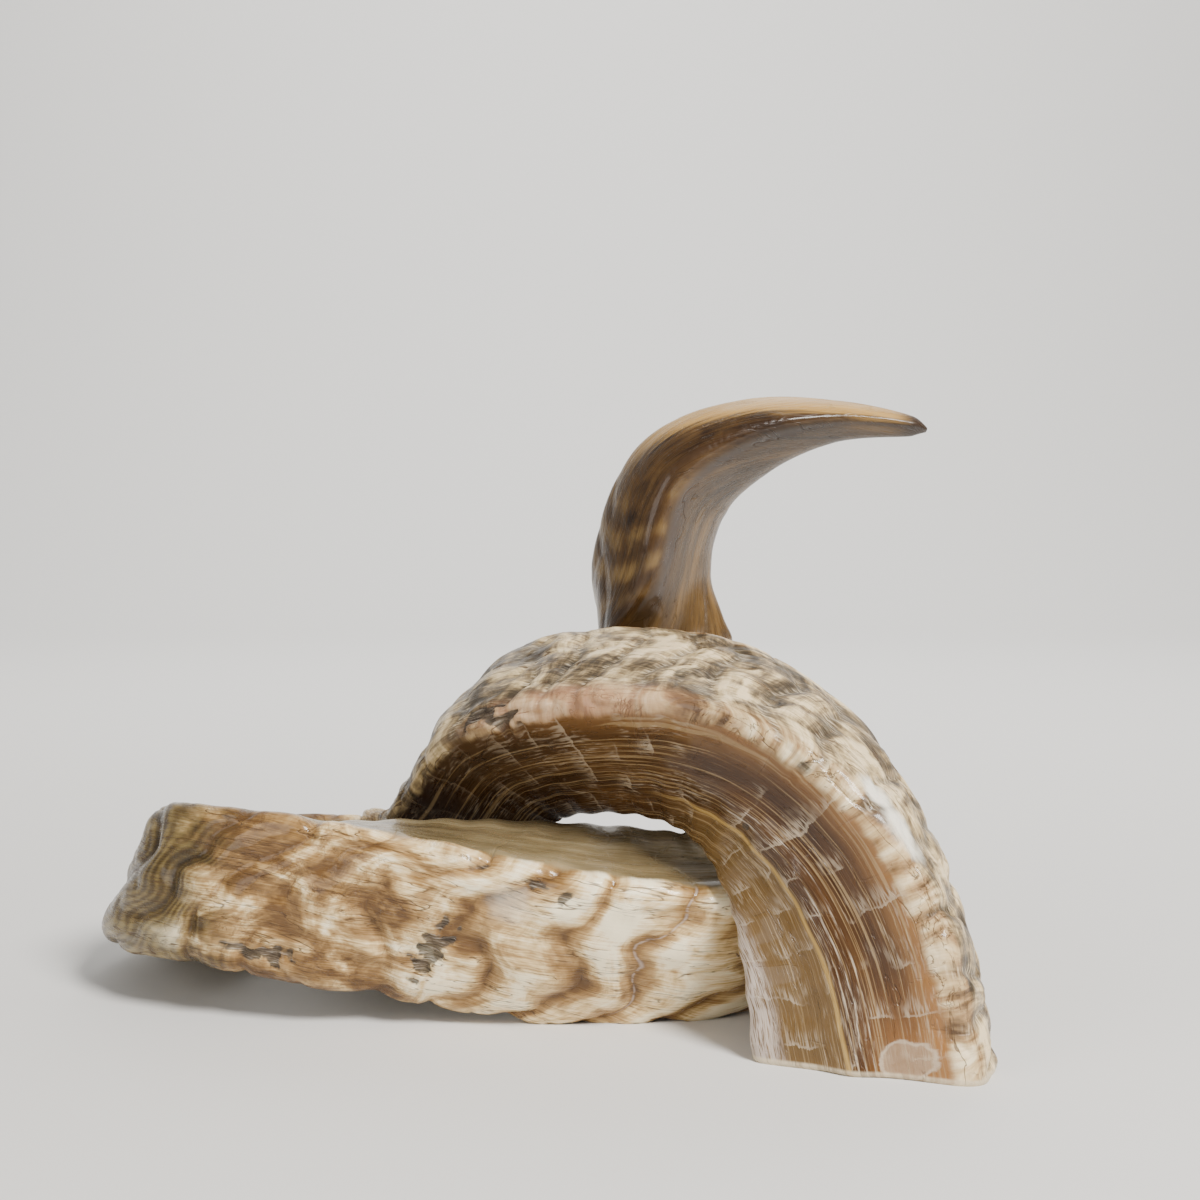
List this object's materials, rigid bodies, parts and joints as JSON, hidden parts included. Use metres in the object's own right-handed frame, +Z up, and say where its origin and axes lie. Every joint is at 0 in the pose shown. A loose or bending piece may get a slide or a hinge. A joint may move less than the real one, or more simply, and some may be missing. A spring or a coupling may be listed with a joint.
{
  "type": "ram's horn",
  "caption": "Curled, polished ram's horn with a wrinkled outer face, cut flat at its base, arching over its own flat coil and ending in a free pointed tip.",
  "frame": {"origin": "middle of the horn's footprint, on the plane it rests on", "axes": "+X from the left end of the flat coil towards the cut base and the tip, +Y from the front coil towards the rising part behind it, +Z up"},
  "size_m": [0.3096, 0.2066, 0.2153],
  "materials": {
    "horn": "polished keratin: cream crests and brown valleys on the wrinkled face, brown translucent side faces"
  },
  "bodies": {
    "root": {"horn": "horn"}
  },
  "joints": []
}
